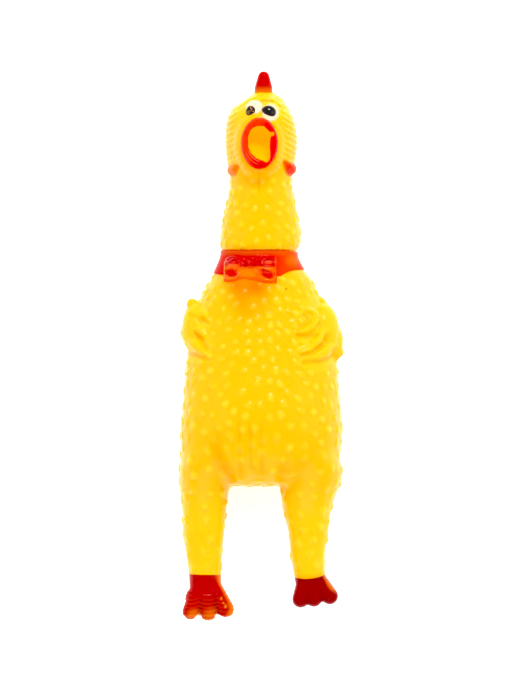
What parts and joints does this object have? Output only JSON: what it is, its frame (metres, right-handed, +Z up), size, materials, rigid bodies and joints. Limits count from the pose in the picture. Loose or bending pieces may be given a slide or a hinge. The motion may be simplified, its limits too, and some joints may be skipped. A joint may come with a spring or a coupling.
{
  "type": "rubber chicken",
  "caption": "Hollow vinyl squeeze toy shaped as a plucked chicken lying on its back, with an open screaming beak, a bow tie at the collar and a reed whistle in the throat.",
  "frame": {"origin": "under the middle of the toy, on the surface it lies on", "axes": "+Z up out of the belly, +Y from the feet to the comb, +X towards the chicken's own left"},
  "size_m": [0.0926, 0.31, 0.065],
  "materials": {
    "yellow_vinyl": "soft semi-gloss translucent vinyl",
    "red_paint": "red spray paint on soft vinyl",
    "dark_red_paint": "dark red dip paint on soft vinyl",
    "white_paint": "white paint on soft vinyl",
    "black_paint": "glossy black paint on soft vinyl",
    "whistle_plastic": "white moulded plastic",
    "reed_plastic": "thin clear-grey plastic film"
  },
  "bodies": {
    "torso": {"torso_shell": "yellow_vinyl", "throat_sway_ring": "yellow_vinyl", "hip_ring_left": "yellow_vinyl", "hip_ring_right": "yellow_vinyl", "wing_left": "yellow_vinyl", "wing_right": "yellow_vinyl", "collar_band": "red_paint", "bow_knot": "red_paint", "bow_loop_left": "red_paint", "bow_loop_right": "red_paint", "bow_tail_left": "red_paint", "bow_tail_right": "red_paint", "whistle_barrel": "whistle_plastic", "whistle_grille": "whistle_plastic", "reed_trough": "whistle_plastic", "reed_clamp": "whistle_plastic"},
    "belly": {"belly_panel": "yellow_vinyl"},
    "reed": {"reed_tongue": "reed_plastic"},
    "neck": {"neck_shell": "yellow_vinyl", "throat_nod_ring": "yellow_vinyl"},
    "head": {"head_shell": "yellow_vinyl", "comb": "red_paint", "beak_lips": "red_paint", "eye_left": "white_paint", "eye_right": "white_paint", "pupil_left": "black_paint", "pupil_right": "black_paint", "wattle_left": "red_paint", "wattle_right": "red_paint"},
    "shank_left": {"leg_shell_left": "yellow_vinyl", "ankle_ring_left": "yellow_vinyl"},
    "shank_right": {"leg_shell_right": "yellow_vinyl", "ankle_ring_right": "yellow_vinyl"},
    "foot_left": {"foot_left": "dark_red_paint"},
    "foot_right": {"foot_right": "dark_red_paint"}
  },
  "joints": [
    {"name": "belly_squeeze", "type": "slide", "parent": "torso", "child": "belly", "axis": [0, 0, -1], "range_m": [0, 0.012], "stiffness_N_per_m": 800},
    {"name": "reed_flutter", "type": "hinge", "parent": "torso", "child": "reed", "pos_m": [-0.0005, 0.0546, 0.0313], "axis": [-1, 0, 0], "range_deg": [0, 6], "stiffness_Nm_per_rad": 0.00002},
    {"name": "throat_sway", "type": "hinge", "parent": "torso", "child": "neck", "pos_m": [-0.0002, 0.06275, 0.028], "axis": [0, 0, 1], "range_deg": [-35, 35], "stiffness_Nm_per_rad": 0.4, "deforming": ["throat_sway_ring"]},
    {"name": "throat_nod", "type": "hinge", "parent": "neck", "child": "head", "pos_m": [0, 0.087, 0.0285], "axis": [1, 0, 0], "range_deg": [-7, 45], "stiffness_Nm_per_rad": 0.4, "deforming": ["throat_nod_ring"]},
    {"name": "hip_swing_left", "type": "hinge", "parent": "torso", "child": "shank_left", "pos_m": [0.0265, -0.09215, 0.0286], "axis": [-1, 0, 0], "range_deg": [-12, 50], "stiffness_Nm_per_rad": 0.3, "deforming": ["hip_ring_left"]},
    {"name": "hip_swing_right", "type": "hinge", "parent": "torso", "child": "shank_right", "pos_m": [-0.032, -0.09215, 0.0286], "axis": [-1, 0, 0], "range_deg": [-12, 50], "stiffness_Nm_per_rad": 0.3, "deforming": ["hip_ring_right"]},
    {"name": "ankle_flex_left", "type": "hinge", "parent": "shank_left", "child": "foot_left", "pos_m": [0.0267, -0.12075, 0.0281], "axis": [-1, 0, 0], "range_deg": [-20, 50], "stiffness_Nm_per_rad": 0.15, "deforming": ["ankle_ring_left"]},
    {"name": "ankle_flex_right", "type": "hinge", "parent": "shank_right", "child": "foot_right", "pos_m": [-0.032, -0.12075, 0.0281], "axis": [-1, 0, 0], "range_deg": [-20, 50], "stiffness_Nm_per_rad": 0.15, "deforming": ["ankle_ring_right"]}
  ]
}
